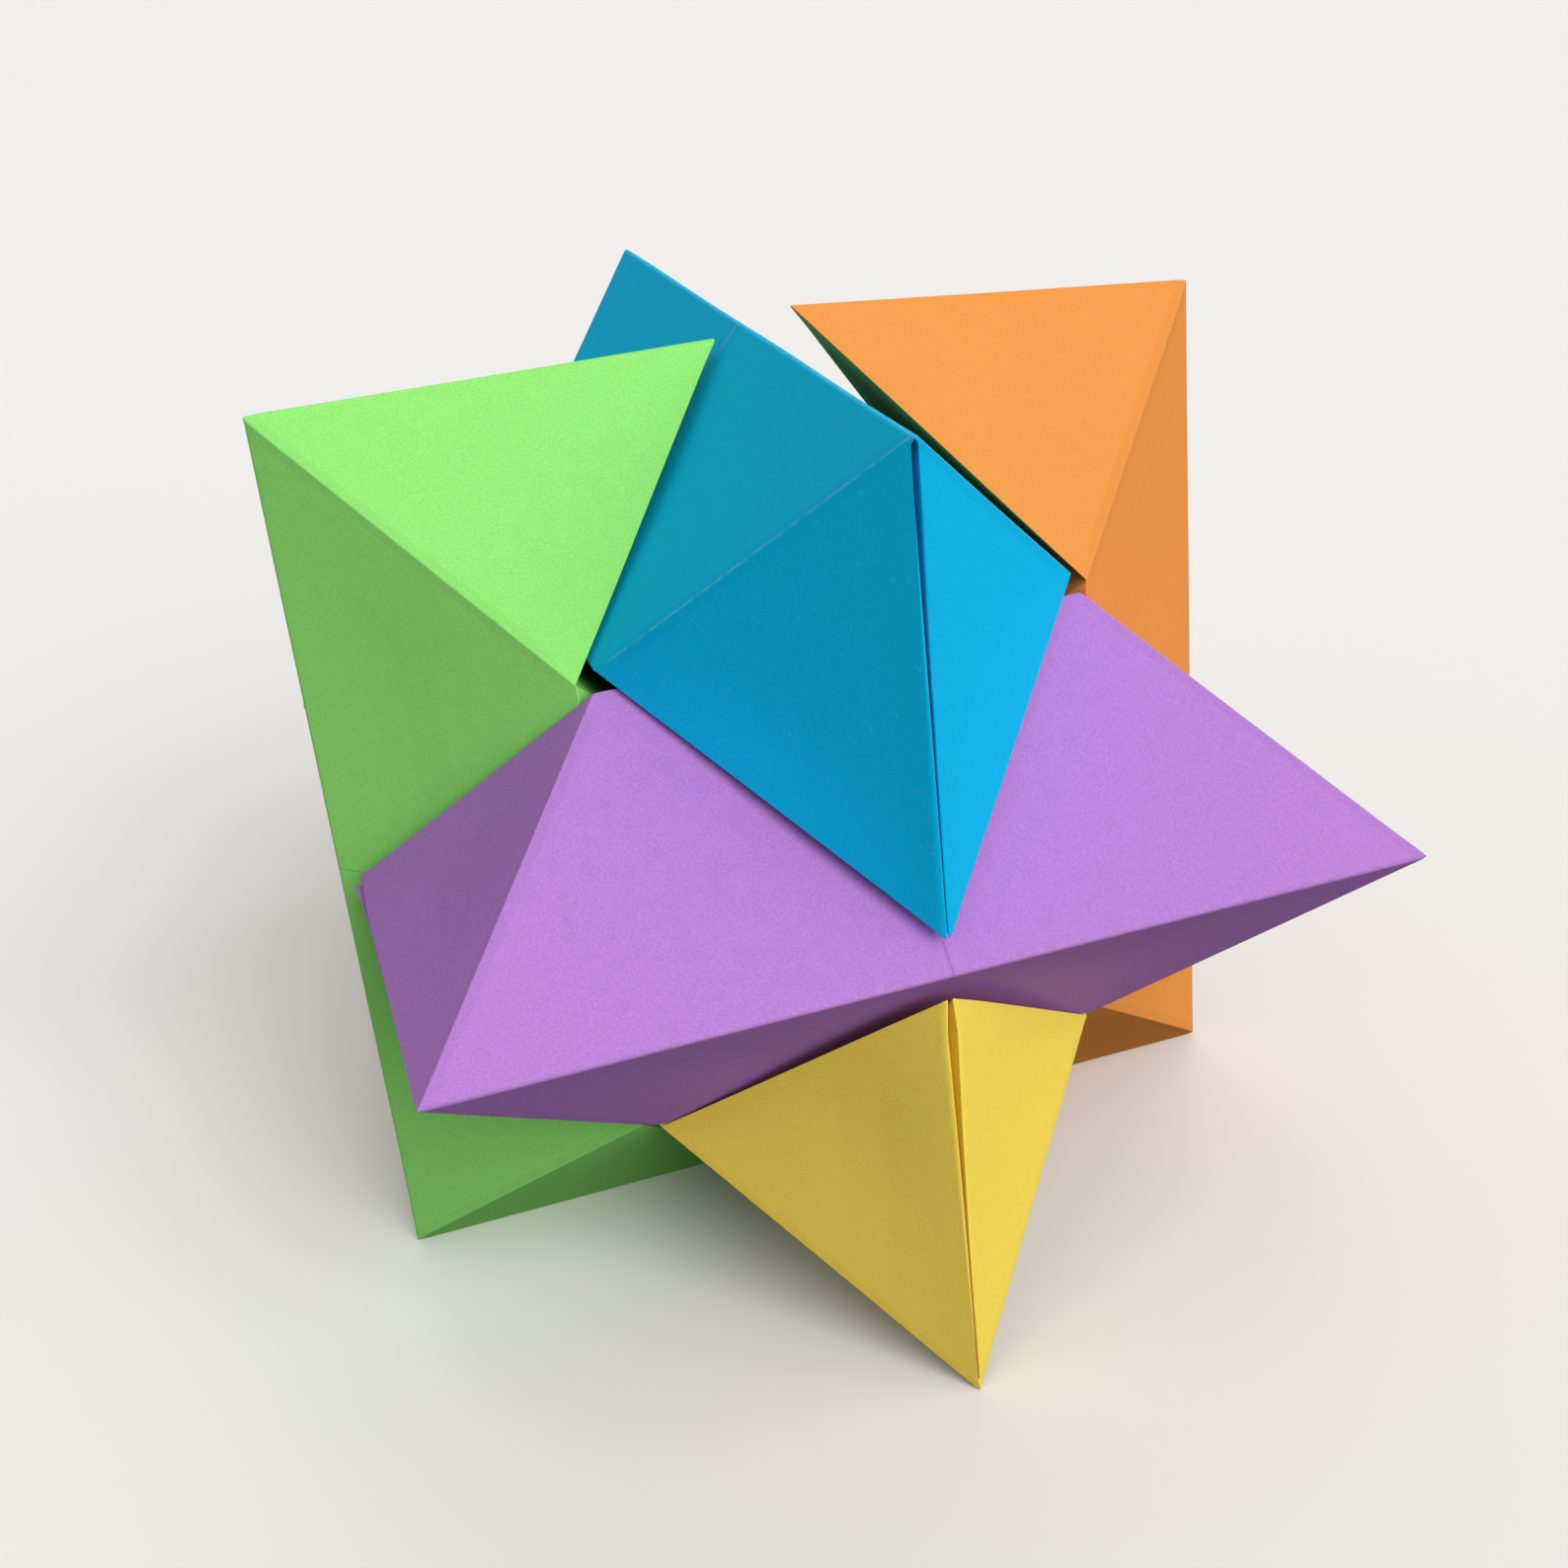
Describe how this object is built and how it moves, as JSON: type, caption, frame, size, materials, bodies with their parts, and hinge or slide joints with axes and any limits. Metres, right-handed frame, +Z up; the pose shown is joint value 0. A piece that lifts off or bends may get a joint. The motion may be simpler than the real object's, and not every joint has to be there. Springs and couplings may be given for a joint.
{
  "type": "origami burr puzzle",
  "caption": "Star-shaped burr puzzle of interlocking folded paper bars in rainbow colours, each with pointed ends and V notches; its halves slide apart along a diagonal.",
  "frame": {"origin": "on the table, at the middle of the star's box seen from above", "axes": "+Z up, +X towards the front bar, +Y along the front bar's ridge"},
  "size_m": [0.149, 0.1504, 0.1501],
  "materials": {
    "purple_paper": "matte coloured paper",
    "orange_paper": "matte coloured paper",
    "blue_paper": "matte coloured paper",
    "red_paper": "matte coloured paper",
    "green_paper": "matte coloured paper",
    "yellow_paper": "matte coloured paper"
  },
  "bodies": {
    "lower_half": {"red_unit": "red_paper", "green_unit": "green_paper", "yellow_unit": "yellow_paper"},
    "upper_half": {"purple_unit": "purple_paper", "orange_unit": "orange_paper", "blue_unit": "blue_paper"}
  },
  "joints": [
    {"name": "halves_slide", "type": "slide", "parent": "lower_half", "child": "upper_half", "axis": [0.5774, 0.5774, 0.5774], "range_m": [0, 0.086]}
  ]
}
